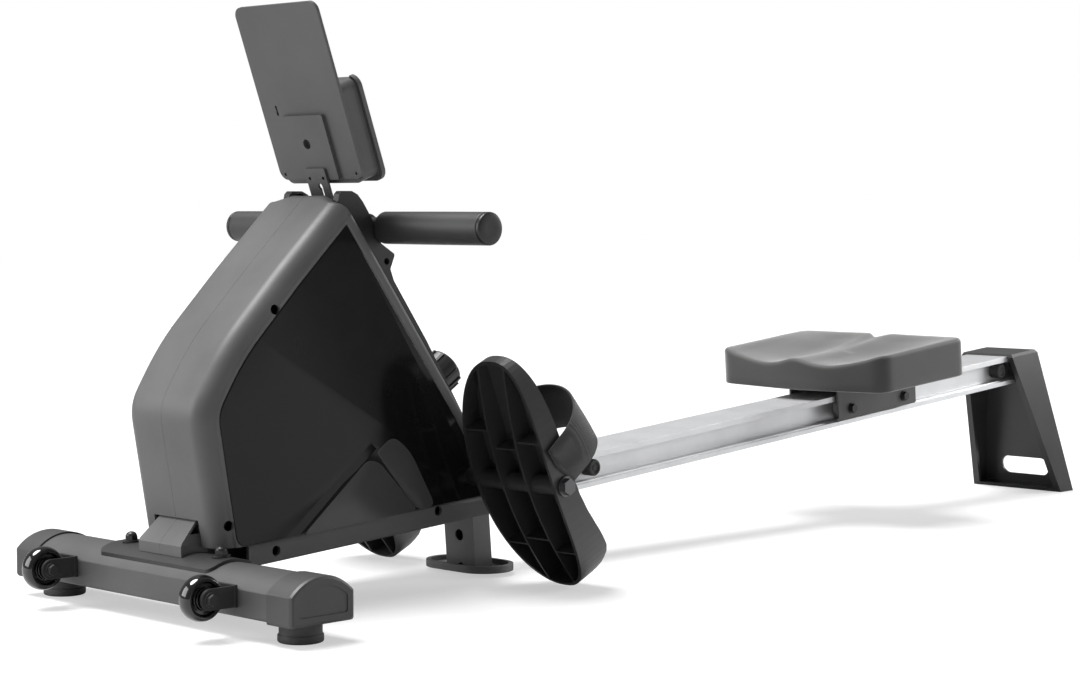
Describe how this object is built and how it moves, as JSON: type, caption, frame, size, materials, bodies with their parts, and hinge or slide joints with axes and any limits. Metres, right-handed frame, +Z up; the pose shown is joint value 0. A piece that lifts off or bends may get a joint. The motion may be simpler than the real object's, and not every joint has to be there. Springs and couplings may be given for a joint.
{
  "type": "rowing machine",
  "caption": "Folding magnetic rowing machine with a sliding seat on an inclined rail, a pull handle on a strap, tilting foot plates and a leaning console.",
  "frame": {"origin": "on the floor under the middle of the bounding box", "axes": "+X from the console end towards the rear foot, along the rail; +Y to the rower's right, since the rower faces the console, which is the side away from the camera in the picture; +Z up"},
  "size_m": [1.8225, 0.512, 0.6897],
  "materials": {
    "powder_steel": "satin powder coat",
    "casing_plastic": "satin moulded",
    "gloss_panel": "glossy",
    "black_plastic": "moulded, semi-matt",
    "rubber": "smooth",
    "foam": "matt",
    "seat_foam": "moulded skin, fine grain",
    "webbing": "woven",
    "zinc_steel": "zinc plated",
    "black_steel": "black oxide",
    "cast_iron": "machined",
    "aluminium": "anodised",
    "wheel_polymer": "smooth",
    "display": "glossy"
  },
  "bodies": {
    "frame": {"stabiliser_tube": "powder_steel", "end_cap_left": "casing_plastic", "end_cap_right": "casing_plastic", "front_feet": "rubber", "wheel_brackets": "powder_steel", "mount_plate": "powder_steel", "mount_bolts": "zinc_steel", "foot_cover_left": "casing_plastic", "foot_cover_right": "casing_plastic", "main_beam": "powder_steel", "drive_bracket": "powder_steel", "drive_shafts": "zinc_steel", "drive_belt": "rubber", "casing_left": "casing_plastic", "casing_right": "casing_plastic", "side_panel_left": "gloss_panel", "side_panel_right": "gloss_panel", "rear_spine": "casing_plastic", "casing_screws": "black_steel", "console_bracket": "powder_steel", "console_back": "casing_plastic", "console_body": "casing_plastic", "console_screen": "display", "pull_strap": "webbing", "pedal_axle": "zinc_steel", "middle_leg": "powder_steel", "leg_plate": "powder_steel", "hinge_bracket": "powder_steel", "pivot_bolt": "zinc_steel"},
    "transport_wheel_left": {"wheel_left": "rubber"},
    "transport_wheel_right": {"wheel_right": "rubber"},
    "flywheel": {"flywheel": "cast_iron"},
    "freewheel": {"freewheel_pulley": "black_plastic"},
    "spool": {"spool_pulley": "black_plastic"},
    "guide": {"guide_roller": "black_plastic"},
    "magnets": {"magnet_arm": "zinc_steel"},
    "knob": {"tension_knob": "black_plastic"},
    "mode_key": {"button_mode": "black_plastic"},
    "reset_key": {"button_reset": "black_plastic"},
    "handle": {"handle_bar": "black_steel", "grips": "foam", "strap_clamp": "black_plastic"},
    "pedal_left": {"pedal_left": "black_plastic", "foot_strap_left": "webbing"},
    "pedal_right": {"pedal_right": "black_plastic", "foot_strap_right": "webbing"},
    "fold_lock": {"fold_knob": "black_plastic"},
    "rail": {"rail": "aluminium", "rail_stops": "rubber", "hinge_block": "zinc_steel", "rear_foot": "black_plastic"},
    "seat": {"seat_pad": "seat_foam", "seat_base": "black_plastic", "carriage": "powder_steel", "roller_bolts": "black_steel"},
    "roller_front_left": {"roller_front_left": "wheel_polymer"},
    "roller_front_right": {"roller_front_right": "wheel_polymer"},
    "roller_rear_left": {"roller_rear_left": "wheel_polymer"},
    "roller_rear_right": {"roller_rear_right": "wheel_polymer"}
  },
  "joints": [
    {"name": "transport_wheel_left_turn", "type": "hinge", "parent": "frame", "child": "transport_wheel_left", "pos_m": [-0.8845, -0.147, 0.0465], "axis": [0, 1, 0], "continuous": true},
    {"name": "transport_wheel_right_turn", "type": "hinge", "parent": "frame", "child": "transport_wheel_right", "pos_m": [-0.8845, 0.147, 0.0465], "axis": [0, 1, 0], "continuous": true},
    {"name": "handle_pull", "type": "slide", "parent": "frame", "child": "handle", "axis": [1, 0, 0], "range_m": [0, 1.1], "stiffness_N_per_m": 18, "springref_m": -1, "deforming": ["pull_strap"]},
    {"name": "spool_turn", "type": "hinge", "parent": "frame", "child": "spool", "pos_m": [-0.576, 0, 0.318], "axis": [0, 1, 0], "continuous": true},
    {"name": "freewheel_turn", "type": "hinge", "parent": "frame", "child": "freewheel", "pos_m": [-0.686, 0, 0.228], "axis": [0, 1, 0], "continuous": true},
    {"name": "guide_turn", "type": "hinge", "parent": "frame", "child": "guide", "pos_m": [-0.596, 0, 0.422], "axis": [0, 1, 0], "continuous": true},
    {"name": "flywheel_turn", "type": "hinge", "parent": "frame", "child": "flywheel", "pos_m": [-0.686, 0, 0.228], "axis": [0, 1, 0], "continuous": true},
    {"name": "tension_turn", "type": "hinge", "parent": "frame", "child": "knob", "pos_m": [-0.4324, 0, 0.236], "axis": [0.8396, 0, 0.5432], "range_deg": [0, 315]},
    {"name": "magnet_swing", "type": "hinge", "parent": "frame", "child": "magnets", "pos_m": [-0.726, 0.032, 0.1215], "axis": [0, 1, 0], "range_deg": [0, 2.8]},
    {"name": "mode_press", "type": "slide", "parent": "frame", "child": "mode_key", "axis": [-0.9403, 0, -0.3404], "range_m": [0, 0.0012], "stiffness_N_per_m": 800},
    {"name": "reset_press", "type": "slide", "parent": "frame", "child": "reset_key", "axis": [-0.9403, 0, -0.3404], "range_m": [0, 0.0012], "stiffness_N_per_m": 800},
    {"name": "pedal_left_tilt", "type": "hinge", "parent": "frame", "child": "pedal_left", "pos_m": [-0.42, -0.163, 0.132], "axis": [0, -1, 0], "range_deg": [0, 45]},
    {"name": "pedal_right_tilt", "type": "hinge", "parent": "frame", "child": "pedal_right", "pos_m": [-0.42, 0.163, 0.132], "axis": [0, -1, 0], "range_deg": [0, 45]},
    {"name": "fold_lock_turn", "type": "hinge", "parent": "frame", "child": "fold_lock", "pos_m": [-0.2869, 0.045, 0.09444], "axis": [0, 1, 0], "range_deg": [0, 360]},
    {"name": "rail_fold", "type": "hinge", "parent": "frame", "child": "rail", "pos_m": [-0.28874, 0, 0.11636], "axis": [0, -1, 0], "range_deg": [0, 85]},
    {"name": "seat_slide", "type": "slide", "parent": "rail", "child": "seat", "axis": [0.9965, 0, 0.0837], "range_m": [-0.508, 0.243]},
    {"name": "roller_front_left_turn", "type": "hinge", "parent": "seat", "child": "roller_front_left", "pos_m": [0.37362, -0.026, 0.16375], "axis": [0, 1, 0], "continuous": true},
    {"name": "roller_front_right_turn", "type": "hinge", "parent": "seat", "child": "roller_front_right", "pos_m": [0.37362, 0.026, 0.16375], "axis": [0, 1, 0], "continuous": true},
    {"name": "roller_rear_left_turn", "type": "hinge", "parent": "seat", "child": "roller_rear_left", "pos_m": [0.50117, -0.026, 0.17446], "axis": [0, 1, 0], "continuous": true},
    {"name": "roller_rear_right_turn", "type": "hinge", "parent": "seat", "child": "roller_rear_right", "pos_m": [0.50117, 0.026, 0.17446], "axis": [0, 1, 0], "continuous": true}
  ],
  "couplings": [
    {"joint": "spool_turn", "follows": "handle_pull", "rad_per_m": 30.864},
    {"joint": "freewheel_turn", "follows": "handle_pull", "rad_per_m": 147.2},
    {"joint": "guide_turn", "follows": "handle_pull", "rad_per_m": 103.09},
    {"joint": "magnet_swing", "follows": "tension_turn", "ratio": 0.008889},
    {"joint": "roller_front_left_turn", "follows": "seat_slide", "rad_per_m": 64.935},
    {"joint": "roller_front_right_turn", "follows": "seat_slide", "rad_per_m": 64.935},
    {"joint": "roller_rear_left_turn", "follows": "seat_slide", "rad_per_m": 64.935},
    {"joint": "roller_rear_right_turn", "follows": "seat_slide", "rad_per_m": 64.935}
  ]
}
